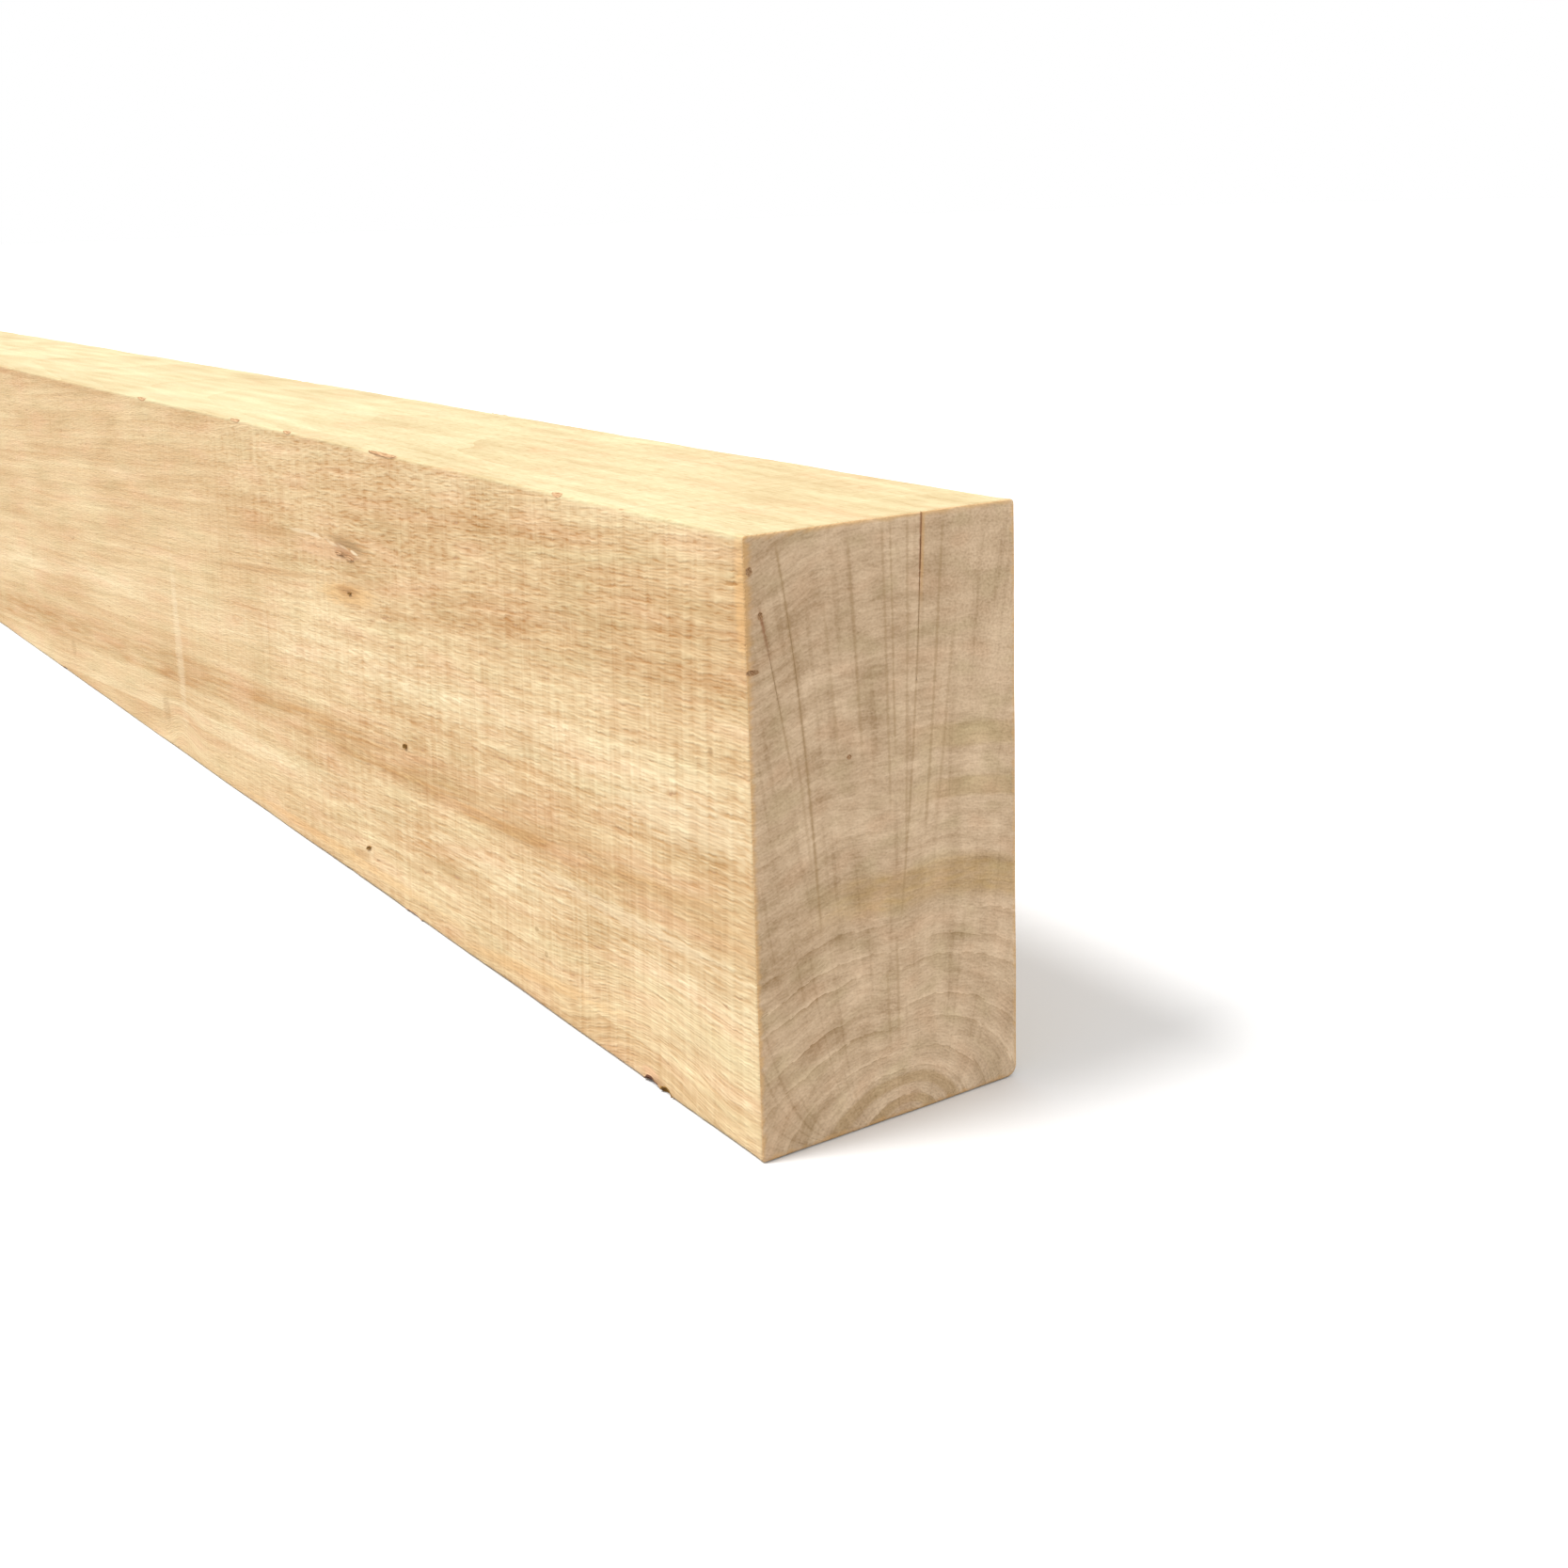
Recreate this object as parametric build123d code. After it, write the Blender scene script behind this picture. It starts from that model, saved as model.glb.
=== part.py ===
from build123d import *
from dataclasses import dataclass
import os

# A rough-sawn hardwood beam, standing on its narrow edge. Millimetres.
# +X runs along the length to the near end, which shows its end grain, and +Z is up.
# The front face looks along -Y. The origin is the middle of the underside.

# The stock, as it comes off the saw
LENGTH = 2400.0
DEPTH = 200.0  # the tall side of the section, along Z
THICKNESS = 105.0  # the short side of the section, along Y

# Radii that handling has worn on the four long arrises, and on the sawn ends
TOP_FRONT_ARRIS = 1.6
TOP_BACK_ARRIS = 2.6
BOTTOM_FRONT_ARRIS = 2.2
BOTTOM_BACK_ARRIS = 5.0
END_ARRIS = 0.8

# The pith, the middle of the growth rings. It ran just under the beam, so the cut missed it.
PITH_OFFSET = 4.5  # towards the back, from the middle of the thickness
PITH_DROP = 2.5  # below the underside

# Rays part as they climb from the pith: slowly low down, and more towards the bark
RAY_PARTING = 0.22  # a power of the height over the pith; 1 would be straight out
BARK_LEAN = 0.25  # how much further apart they are at the next height
BARK_LEAN_HEIGHT = 200.0  # over the pith

# A pocket in the bottom front arris, where bark was grown over and has dropped out
POCKET_FROM_END = 65.0  # from the near end to the middle of the pocket
POCKET_LENGTH = 16.0
POCKET_DEPTH = 3.0  # in from where the sharp corner would be, across it

# Which way each side looks along Y, and each end along X
FRONT = -1
BACK = 1
NEAR = 1
FAR = -1


@dataclass
class EndCheck:
    """A drying split in an end face. It follows a ray, and closes up inside the wood."""

    side: int  # FRONT or BACK, the side face that it is measured from
    inset: float  # from that face to where its ray meets the top face
    top: float  # from the top face down to the split's top; below 0 it opens through that face
    height: float  # from its top down to its lower tip
    widest: float  # from its top down to where the mouth is widest
    mouth: float  # the gap there, on the end face
    reach: float  # how far it runs into the beam


NEAR_END_CHECKS = [
    EndCheck(side=BACK, inset=38.4, top=-4.0, height=58.0, widest=15.0, mouth=0.35, reach=60.0),
    EndCheck(side=FRONT, inset=10.9, top=6.0, height=88.0, widest=30.0, mouth=0.2, reach=35.0),
    EndCheck(side=FRONT, inset=0.9, top=27.0, height=42.0, widest=12.0, mouth=0.25, reach=22.0),
]
FAR_END_CHECKS = [
    EndCheck(side=BACK, inset=43.5, top=-5.0, height=70.0, widest=18.0, mouth=0.4, reach=75.0),
    EndCheck(side=FRONT, inset=24.0, top=38.0, height=74.0, widest=24.0, mouth=0.25, reach=30.0),
]


def sawn_stock():
    """The bare beam: the section with its four worn arrises, run out along the length."""
    section = Plane.YZ * Pos(0, DEPTH / 2) * Rectangle(THICKNESS, DEPTH)
    arrises = [
        (-THICKNESS / 2, DEPTH, TOP_FRONT_ARRIS),
        (THICKNESS / 2, DEPTH, TOP_BACK_ARRIS),
        (-THICKNESS / 2, 0, BOTTOM_FRONT_ARRIS),
        (THICKNESS / 2, 0, BOTTOM_BACK_ARRIS),
    ]
    for y, z, radius in arrises:
        corner = section.vertices().sort_by_distance((0, y, z))[0]
        section = fillet(corner, radius)
    stock = Pos(-LENGTH / 2, 0, 0) * extrude(section, LENGTH, dir=(1, 0, 0))
    ends = stock.faces().filter_by(Axis.X)
    return fillet(ends.edges(), END_ARRIS)


def ray_spread(z):
    """How far the rays have parted at the height z, as a number to compare with other heights."""
    climbed = max(z + PITH_DROP, 0)
    return climbed**RAY_PARTING * (1 + BARK_LEAN * (climbed / BARK_LEAN_HEIGHT) ** 3)


def ray_across(across, z):
    """Where the ray that meets the top face at across is at the height z."""
    return PITH_OFFSET + (across - PITH_OFFSET) * ray_spread(z) / ray_spread(DEPTH)


def check_wedge(check, end):
    """The air in one end check: a slender kite on the end face, closing to a point inside."""
    high = DEPTH - check.top
    wide = high - check.widest
    low = high - check.height
    across = check.side * (THICKNESS / 2 - check.inset)
    middle = ray_across(across, wide)
    face = end * LENGTH / 2
    kite = Polyline(
        (face, ray_across(across, high), high),
        (face, middle - check.mouth / 2, wide),
        (face, ray_across(across, low), low),
        (face, middle + check.mouth / 2, wide),
        close=True,
    )
    tip = Vertex(face - end * check.reach, middle, wide)
    return loft([make_face(kite), tip], ruled=True)


def bark_pocket():
    """The scoop that the lost bark has left: the part of a ball that reaches into the arris."""
    half = POCKET_LENGTH / 2
    radius = (half**2 + POCKET_DEPTH**2) / (2 * POCKET_DEPTH)
    out = (radius - POCKET_DEPTH) / 2**0.5
    place = Pos(LENGTH / 2 - POCKET_FROM_END, -THICKNESS / 2 - out, -out)
    return place * Sphere(radius)


def sawn_beam():
    beam = sawn_stock()
    for check in NEAR_END_CHECKS:
        beam -= check_wedge(check, NEAR)
    for check in FAR_END_CHECKS:
        beam -= check_wedge(check, FAR)
    return beam - bark_pocket()


beam = sawn_beam()
beam.label = "sawn_beam"
os.makedirs("parts", exist_ok=True)
export_step(beam, "parts/sawn_beam.step")
print("beam", LENGTH, "x", DEPTH, "x", THICKNESS, "mm,", round(beam.volume / 1e9, 5), "m3")
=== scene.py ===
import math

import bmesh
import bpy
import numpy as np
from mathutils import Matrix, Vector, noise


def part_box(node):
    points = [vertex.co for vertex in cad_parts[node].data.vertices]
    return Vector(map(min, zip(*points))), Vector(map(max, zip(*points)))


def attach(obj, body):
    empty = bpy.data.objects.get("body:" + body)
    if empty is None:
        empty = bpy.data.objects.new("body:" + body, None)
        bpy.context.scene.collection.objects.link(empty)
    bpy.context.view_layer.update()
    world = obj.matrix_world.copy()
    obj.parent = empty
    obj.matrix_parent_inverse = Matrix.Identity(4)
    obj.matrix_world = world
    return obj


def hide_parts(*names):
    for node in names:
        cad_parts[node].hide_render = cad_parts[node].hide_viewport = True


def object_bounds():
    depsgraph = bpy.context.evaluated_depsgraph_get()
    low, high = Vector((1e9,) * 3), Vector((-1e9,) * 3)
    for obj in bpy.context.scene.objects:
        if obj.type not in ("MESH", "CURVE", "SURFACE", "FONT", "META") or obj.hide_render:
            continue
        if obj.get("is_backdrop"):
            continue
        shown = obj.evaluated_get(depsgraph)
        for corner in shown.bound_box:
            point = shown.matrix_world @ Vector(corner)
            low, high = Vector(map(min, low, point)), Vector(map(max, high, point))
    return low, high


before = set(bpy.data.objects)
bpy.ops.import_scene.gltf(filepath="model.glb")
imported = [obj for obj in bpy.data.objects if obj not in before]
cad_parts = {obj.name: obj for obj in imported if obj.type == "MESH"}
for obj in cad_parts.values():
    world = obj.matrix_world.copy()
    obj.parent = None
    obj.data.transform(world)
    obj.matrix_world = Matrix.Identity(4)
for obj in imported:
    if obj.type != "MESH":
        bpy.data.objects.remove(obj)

# %% [markdown]
# # A rough-sawn hardwood beam
# This lesson dresses one stick of timber: a beam 105 by 200 mm, fresh from a band saw.
# The frame that was just loaded holds its plain solid, at its real size and place. +X runs along
# the beam to its near end, the front face looks along -Y, and the underside lies at z = 0.
# The surface is built again here with many more points, because the solid's flat faces can't carry
# worn arrises or saw marks. Its colours come from formulas in three directions, as a log's do,
# so the rings on the end run on into the streaks along the sides.

MM = 0.001
cad_low, cad_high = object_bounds()
beam_low, beam_high = [Vector(corner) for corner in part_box("sawn_beam")]
length, thickness, depth = [side / MM for side in beam_high - beam_low]
near_end = length / 2
front = -thickness / 2
back = thickness / 2
print(f"beam {length:.0f} x {thickness:.0f} x {depth:.0f} mm")

# %% [markdown]
# ## The camera
# A picture's viewpoint can be worked back from straight edges that are known to be square to each
# other. Here the camera stands close to the near end, looks along the beam and a little down, and
# is rolled by a degree and a half. Its place is given from the middle of the near end's lower edge.
# A small shift slides the picture on the sensor, so that the upright arrises stay nearly upright.

# %% Place the camera
AZIMUTH = math.radians(56.266)
ELEVATION = math.radians(11.514)
ROLL = math.radians(-1.631)
CAMERA_FROM_END = Vector((467.7, -350.6, 294.6)) * MM
LENS = 44.18
SENSOR = 36.0
SHIFT_DOWN = -0.12
CLIP_NEAR = 0.01
CLIP_FAR = 200

outwards = Vector((
    math.sin(AZIMUTH) * math.cos(ELEVATION),
    -math.cos(AZIMUTH) * math.cos(ELEVATION),
    math.sin(ELEVATION),
))
camera_data = bpy.data.cameras.new("camera")
camera_data.lens = LENS
camera_data.sensor_width = SENSOR
camera_data.shift_y = SHIFT_DOWN
camera_data.clip_start = CLIP_NEAR
camera_data.clip_end = CLIP_FAR
camera = bpy.data.objects.new("camera", camera_data)
bpy.context.scene.collection.objects.link(camera)
camera.rotation_mode = "QUATERNION"
turn = outwards.to_track_quat("Z", "Y")
camera.rotation_quaternion = turn @ Matrix.Rotation(ROLL, 3, "Z").to_quaternion()
camera.location = Vector((near_end * MM, 0, 0)) + CAMERA_FROM_END
bpy.context.scene.camera = camera
print("camera at", [round(value, 3) for value in camera.location])

# %% [markdown]
# ## Floor and light
# A box shows its form best when its three visible faces differ in brightness: here the top is
# brightest, the side next, and the end lies in its own shade. One soft sun from above and from the
# left gives that order, and a much weaker one from the right brings out the relief on the end.
# The world adds light from all round.
# The floor is white to the camera alone. To the beam it is a mid grey, so that it doesn't throw
# more light upwards than a plain studio floor would, and it still holds the beam's soft shadow.

# %% The world and the two suns
AMBIENT = 0.74
KEY_STRENGTH = 3.1
KEY_FROM = Vector((-0.2, -0.5, 0.88))
KEY_SOFTNESS = math.radians(22)
RELIEF_STRENGTH = 0.32
RELIEF_FROM = Vector((0.75, 0.55, 0.5))
RELIEF_SOFTNESS = math.radians(30)


def seen_directly(nodes, links):
    """1 for the camera, and for what mirrors or glass show; 0 for the light that things throw."""
    path = nodes.new("ShaderNodeLightPath")
    total = path.outputs["Is Camera Ray"]
    for ray in ("Is Glossy Ray", "Is Transmission Ray"):
        either = nodes.new("ShaderNodeMath")
        either.operation = "MAXIMUM"
        links.new(total, either.inputs[0])
        links.new(path.outputs[ray], either.inputs[1])
        total = either.outputs[0]
    return total


def add_sun(name, came_from, strength, softness):
    data = bpy.data.lights.new(name, "SUN")
    data.energy = strength
    data.angle = softness
    sun = bpy.data.objects.new(name, data)
    sun.rotation_mode = "QUATERNION"
    sun.rotation_quaternion = came_from.to_track_quat("Z", "Y")
    bpy.context.scene.collection.objects.link(sun)


add_sun("key_sun", KEY_FROM, KEY_STRENGTH, KEY_SOFTNESS)
add_sun("relief_sun", RELIEF_FROM, RELIEF_STRENGTH, RELIEF_SOFTNESS)
world = bpy.data.worlds.new("studio")
bpy.context.scene.world = world
world.use_nodes = True
background = world.node_tree.nodes["Background"]
background.inputs["Color"].default_value = (1, 1, 1, 1)
brightness = world.node_tree.nodes.new("ShaderNodeMix")
brightness.inputs["A"].default_value = AMBIENT
brightness.inputs["B"].default_value = 1
shown = seen_directly(world.node_tree.nodes, world.node_tree.links)
world.node_tree.links.new(shown, brightness.inputs["Factor"])
world.node_tree.links.new(brightness.outputs["Result"], background.inputs["Strength"])
bpy.context.scene.view_settings.view_transform = "Standard"
print("key sun", KEY_STRENGTH, "relief sun", RELIEF_STRENGTH, "world", AMBIENT)

# %% The floor
FLOOR_HALF = 30.0
FLOOR_TO_CAMERA = (0.92, 0.92, 0.92, 1)
FLOOR_TO_LIGHT = (0.34, 0.33, 0.32, 1)

corners = [(-FLOOR_HALF, -FLOOR_HALF, 0), (FLOOR_HALF, -FLOOR_HALF, 0),
           (FLOOR_HALF, FLOOR_HALF, 0), (-FLOOR_HALF, FLOOR_HALF, 0)]
floor_mesh = bpy.data.meshes.new("floor")
floor_mesh.from_pydata(corners, [], [(0, 1, 2, 3)])
floor = bpy.data.objects.new("floor", floor_mesh)
bpy.context.scene.collection.objects.link(floor)
floor_paint = bpy.data.materials.new("floor_paint")
floor_paint.use_nodes = True
floor_tree = floor_paint.node_tree
floor_tree.nodes.clear()
floor_colour = floor_tree.nodes.new("ShaderNodeMix")
floor_colour.data_type = "RGBA"
floor_colour.inputs["A"].default_value = FLOOR_TO_LIGHT
floor_colour.inputs["B"].default_value = FLOOR_TO_CAMERA
floor_diffuse = floor_tree.nodes.new("ShaderNodeBsdfDiffuse")
floor_output = floor_tree.nodes.new("ShaderNodeOutputMaterial")
floor_tree.links.new(seen_directly(floor_tree.nodes, floor_tree.links), floor_colour.inputs["Factor"])
floor_tree.links.new(floor_colour.outputs["Result"], floor_diffuse.inputs["Color"])
floor_tree.links.new(floor_diffuse.outputs["BSDF"], floor_output.inputs["Surface"])
floor_mesh.materials.append(floor_paint)
floor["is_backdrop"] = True
print("floor", 2 * FLOOR_HALF, "m square")

# %% [markdown]
# ## The skin of the beam
# On the real beam the skin is whatever the saw left: six nearly flat faces that meet in worn
# arrises. A cube with a bevel would give the arrises and nothing to bend. Here the skin is a box of
# crossing grid lines, close together beside each arris, where it curves, and at the near end, where
# the eye is; wide apart at the far end. Later steps move these points by formulas.

# %% Where the grid lines run
BESIDE_ARRIS = (0.5, 1.2, 2.2, 3.8, 6.0)
ACROSS_STEP = 4.4
NEAR_STEP = 2.6
MIDDLE_STEP = 3.7
FAR_STEP = 9.5
NEAR_STRETCH = 150.0
MIDDLE_STRETCH = 1050.0


def lines_across(low, high):
    """Grid lines over the thickness or the depth."""
    first = low + BESIDE_ARRIS[-1]
    last = high - BESIDE_ARRIS[-1]
    inner = np.linspace(first, last, round((last - first) / ACROSS_STEP) + 1)
    beside = np.array(BESIDE_ARRIS[:-1])
    return np.concatenate([[low], low + beside, inner, (high - beside)[::-1], [high]])


def lines_along():
    """Grid lines over the length, from the far end to the near one."""
    away = [0.0, *BESIDE_ARRIS]
    last = length - BESIDE_ARRIS[-1]
    while away[-1] < last - FAR_STEP:
        if away[-1] < NEAR_STRETCH:
            step = NEAR_STEP
        elif away[-1] < MIDDLE_STRETCH:
            step = MIDDLE_STEP
        else:
            step = FAR_STEP
        away.append(away[-1] + step)
    away += [length - offset for offset in reversed(BESIDE_ARRIS)] + [length]
    return near_end - np.array(away)[::-1]


lines = [lines_along(), lines_across(front, back), lines_across(0, depth)]
print("grid lines along, across and up:", [len(way) for way in lines])


# %% The box of points and its six nets of quads
def box_of_points(lines):
    """Points on the six sides of a box, the quads that join them, and the direction of each quad."""
    counts = [len(way) for way in lines]
    keys = []
    ways = []
    for way in range(3):
        second, third = (way + 1) % 3, (way + 2) % 3
        for at_high in (False, True):
            u, v = np.indices((counts[second] - 1, counts[third] - 1))
            ring = [(u, v), (u + 1, v), (u + 1, v + 1), (u, v + 1)]
            if not at_high:
                ring.reverse()
            quad = np.zeros((u.size, 4, 3), int)
            for corner, (along_u, along_v) in enumerate(ring):
                quad[:, corner, way] = counts[way] - 1 if at_high else 0
                quad[:, corner, second] = along_u.ravel()
                quad[:, corner, third] = along_v.ravel()
            keys.append(quad)
            ways += [way] * u.size
    keys = np.concatenate(keys)
    flat = np.ravel_multi_index((keys[..., 0], keys[..., 1], keys[..., 2]), counts)
    used, quads = np.unique(flat, return_inverse=True)
    place = np.unravel_index(used, counts)
    points = np.stack([lines[way][place[way]] for way in range(3)], axis=1)
    return points, quads.reshape(-1, 4), np.array(ways)


points, quads, quad_ways = box_of_points(lines)
print(len(points), "points and", len(quads), "quads")

# %% [markdown]
# ## Worn arrises
# Handling rounds a sawn corner by a millimetre or two, and never evenly. Each of the four long
# arrises has its own radius, which wanders along the beam, and the two cut ends have a small one.
# A point near a corner is drawn in towards a circle inside it, so flat faces stay where they are.

# %% Round the section, then the ends
TOP_FRONT_ARRIS = 1.6
TOP_BACK_ARRIS = 2.6
BOTTOM_FRONT_ARRIS = 2.2
BOTTOM_BACK_ARRIS = 5.0
END_ARRIS = 0.8
LEAST_WEAR = 0.55
WEAR_LENGTH = 55
TINY = 1e-9


def wander(along, wavelength, seed):
    """A smooth number from 0 to 1 that changes along the beam, or over any one coordinate."""
    value = [noise.noise(Vector((place / wavelength, seed, 0.37 * seed))) for place in along]
    return np.clip(0.5 + 0.9 * np.array(value), 0, 1)


def towards_circle(away, radius):
    """Draws points beside a square corner in to a round one. away holds depths below its two faces."""
    beyond = np.maximum(radius[:, None] - away, 0)
    reach = beyond.max(axis=1)
    far = np.hypot(beyond[:, 0], beyond[:, 1])
    both = (beyond > 0).all(axis=1)
    shrink = np.where(both, reach / np.maximum(far, TINY), 1)
    return away + beyond * (1 - shrink)[:, None]


def round_section(points):
    rounded = points.copy()
    arrises = [(front, 0, BOTTOM_FRONT_ARRIS), (back, 0, BOTTOM_BACK_ARRIS),
               (front, depth, TOP_FRONT_ARRIS), (back, depth, TOP_BACK_ARRIS)]
    for seed, (side, level, largest) in enumerate(arrises):
        worn = wander(points[:, 0], WEAR_LENGTH, 10 + seed) * (1 - LEAST_WEAR) + LEAST_WEAR
        inwards = np.sign([-side, depth / 2 - level])
        away = (points[:, 1:] - [side, level]) * inwards
        moved = towards_circle(away, largest * worn)
        rounded[:, 1:] += (moved - away) * inwards
    return rounded


def below_outline(box):
    """How deep each point of the box lies below the nearest long face, and the way in from there."""
    depths = np.stack([box[:, 1] - front, back - box[:, 1], box[:, 2], depth - box[:, 2]], axis=1)
    ways = np.array([[0, 1, 0], [0, -1, 0], [0, 0, 1], [0, 0, -1]])
    return depths.min(axis=1), ways[depths.argmin(axis=1)]


def round_ends(points, box):
    rounded = points.copy()
    deep, way_in = below_outline(box)
    for end in (-1, 1):
        away = np.stack([deep, near_end - end * box[:, 0]], axis=1)
        moved = towards_circle(away, np.full(len(box), END_ARRIS)) - away
        rounded += moved[:, :1] * way_in
        rounded[:, 0] -= end * moved[:, 1]
    return rounded


skin = round_ends(round_section(points), points)
print("box of the rounded skin", skin.min(axis=0).round(2), skin.max(axis=0).round(2))

# %% [markdown]
# ## Checks, nicks, knots and the bark pocket
# Wood shrinks as it dries, and its ends dry first, so they split along the rays into slender
# wedges called checks. Besides these the beam has a pocket where bark has dropped out of the lower
# front arris, a few nicks, and pin knots whose dead heart has fallen out. Dark lines in the
# colour would do from afar, but these are holes, so each is cut: a cutter is built for it, and one
# Boolean takes them all away. Each kind of cutter brings its own material to the walls it leaves.

# %% The finishes of the skin, and those that the walls of a cut can have
SIDE, END, SPLIT, TORN, BARK, KNOT = range(6)
FINISHES = ("sawn_side", "sawn_end", "split_wall", "torn_wood", "old_bark", "dead_knot")
finishes = [bpy.data.materials.new(name) for name in FINISHES]


def new_piece(name, bm):
    mesh = bpy.data.meshes.new(name)
    bm.to_mesh(mesh)
    bm.free()
    for finish in finishes:
        mesh.materials.append(finish)
    piece = bpy.data.objects.new(name, mesh)
    bpy.context.scene.collection.objects.link(piece)
    return piece


cutters = bmesh.new()

# %% [markdown]
# ## Where the rays run
# Rays run out from the pith, the middle of the log, which lies just under this beam. They lean
# outwards as they climb, slowly at first and more under the top. One small formula says how far
# apart they have spread at a height, and it serves twice: here for the splits, which follow the
# rays, and later for the fine lines of the rays in the colour of the ends.

# %% Drying checks, in the solid's places but ragged
PITH_SIDE = 4.5
PITH_DROP = 2.5
PARTING = 0.22
BARK_LEAN = 0.25
BARK_LEAN_HEIGHT = 200.0
PROUD = 1.0
STATIONS = 30
LEAST_GAP = 0.004
LEAST_REACH = 0.1
RAGGED_LENGTH = 5
RAGGED_GAP = 0.6
RAGGED_REACH = 0.25


def ray_spread(up):
    """How far apart the rays are at a height over the pith. up is a number or a field."""
    return up**PARTING * (1 + BARK_LEAN * (up / BARK_LEAN_HEIGHT) ** 3)


def ray_side(at_top, bow, level, spread):
    """Where the ray that meets the top face at at_top is at a level. bow bends its lower part."""
    straight = PITH_SIDE + (at_top - PITH_SIDE) / ray_spread(depth + PITH_DROP) * spread
    return straight + ((depth - level) / 100) ** 2 * bow


def cut_check(end, at_top, bow, top, height, widest, mouth, reach, seed):
    """A wedge-shaped split in one end face. Its tip line dives deepest where its mouth is widest."""
    high = depth - top
    rings = []
    for fallen in np.linspace(0, height, STATIONS):
        level = high - fallen
        share = min(fallen / widest, (height - fallen) / (height - widest))
        ragged = noise.noise(Vector((level / RAGGED_LENGTH, seed, 0)))
        gap = max(mouth / 2 * share * (1 + RAGGED_GAP * ragged), LEAST_GAP)
        middle = ray_side(at_top, bow, min(level, depth), ray_spread(level + PITH_DROP))
        deep = max(reach * share**0.7 * (1 + RAGGED_REACH * ragged), LEAST_REACH)
        face = end * (near_end + PROUD)
        corners = [(face, middle - gap, level), (face, middle + gap, level),
                   (end * (near_end - deep), middle, level)]
        rings.append([cutters.verts.new(corner) for corner in corners])
    made = [cutters.faces.new(rings[0]), cutters.faces.new(rings[-1])]
    for upper, lower in zip(rings, rings[1:]):
        for i in range(3):
            j = (i + 1) % 3
            made.append(cutters.faces.new((upper[i], lower[i], lower[j], upper[j])))
    bmesh.ops.recalc_face_normals(cutters, faces=made)
    for face in made:
        face.material_index = SPLIT


NEAR, FAR = 1, -1
MAIN_CHECK = (14.1, -4.0)
LEFT_CHECK = (-41.6, -1.5)
EDGE_CHECK = (-52.2, 3.0)
cut_check(NEAR, *MAIN_CHECK, top=-4, height=58, widest=15, mouth=0.3, reach=60, seed=1)
cut_check(NEAR, *LEFT_CHECK, top=6, height=88, widest=30, mouth=0.09, reach=35, seed=2)
cut_check(NEAR, *EDGE_CHECK, top=27, height=42, widest=12, mouth=0.14, reach=22, seed=3)
cut_check(FAR, 9.0, 0, top=-5, height=70, widest=18, mouth=0.4, reach=75, seed=4)
cut_check(FAR, -28.5, 0, top=38, height=74, widest=24, mouth=0.25, reach=30, seed=5)
print("end checks:", len(cutters.faces), "faces")

# %% Pits, nicks and the bark pocket, as ragged lumps
ROUGH_ALONG = 1.1
ROUGH_ACROSS = 2.6
FRONT_CHIP_SIDE = 1.7
FRONT_CHIP_HEIGHT = 1.5


def cut_lump(from_end, side, level, half_length, half_side, half_height,
             seed, kind=TORN, ragged=0.3, slope=0):
    """A lump that is rough across the grain and smooth along it. slope lifts its near side."""
    placed = Matrix.Translation((near_end - from_end, side, level))
    lump = bmesh.ops.create_icosphere(cutters, subdivisions=3, radius=1)["verts"]
    roughest = ragged * min(half_length, half_side, half_height)
    for vert in lump:
        x, y, z = vert.co
        spot = Vector((x * ROUGH_ALONG, y * ROUGH_ACROSS + seed, z * ROUGH_ACROSS))
        rough = roughest * noise.noise(spot)
        outward = vert.co.normalized()
        climb = x * half_length * slope
        vert.co = placed @ Vector((x * half_length, y * half_side, z * half_height + climb)) + outward * rough
    for vert in lump:
        for face in vert.link_faces:
            face.material_index = kind


# The bark pocket is two holes end to end in the lower arris, 65 mm from the near end.
cut_lump(70.0, front - 0.2, 0.0, 5.1, 2.8, 2.8, seed=12, kind=BARK)
cut_lump(60.0, front - 0.2, 0.2, 4.2, 2.6, 2.5, seed=11, kind=KNOT)
# Pin knots in the front face
cut_lump(268.4, front - 0.3, 76.4, 1.9, 1.0, 1.2, seed=13, kind=KNOT, ragged=0.5, slope=0.25)
cut_lump(318.4, front - 0.3, 18.4, 2.5, 1.0, 0.8, seed=14, kind=KNOT, slope=0.4)
cut_lump(319.0, front - 0.4, 134.0, 1.9, 0.9, 0.6, seed=27, kind=KNOT, slope=0.2)
# Torn spots in the front face, where the saw lifted the grain
cut_lump(328.2, front - 0.4, 150.6, 5.0, 0.8, 0.7, seed=28, ragged=0.7)
cut_lump(316.4, front - 0.4, 149.9, 5.2, 0.8, 0.7, seed=29, ragged=0.7)
# Nicks in the end face, close to its front arris
cut_lump(-0.2, front + 2.0, 188.8, 1.0, 1.1, 1.5, seed=15)
cut_lump(-0.1, front + 5.6, 175.0, 1.0, 0.9, 1.2, seed=16)
cut_lump(-0.1, front + 2.2, 158.2, 1.2, 2.4, 0.9, seed=17)
cut_lump(-0.3, front + 37.0, 125.8, 1.0, 0.9, 0.8, seed=25)
# Chips out of the top front arris, where the saw left the wood: from the end, half length, seed
for from_end, size, seed in ((272, 16, 18), (455, 7, 19), (383, 5, 20), (612, 8, 21), (118, 4, 22)):
    cut_lump(from_end, front, depth, size, FRONT_CHIP_SIDE, FRONT_CHIP_HEIGHT, seed)

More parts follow.
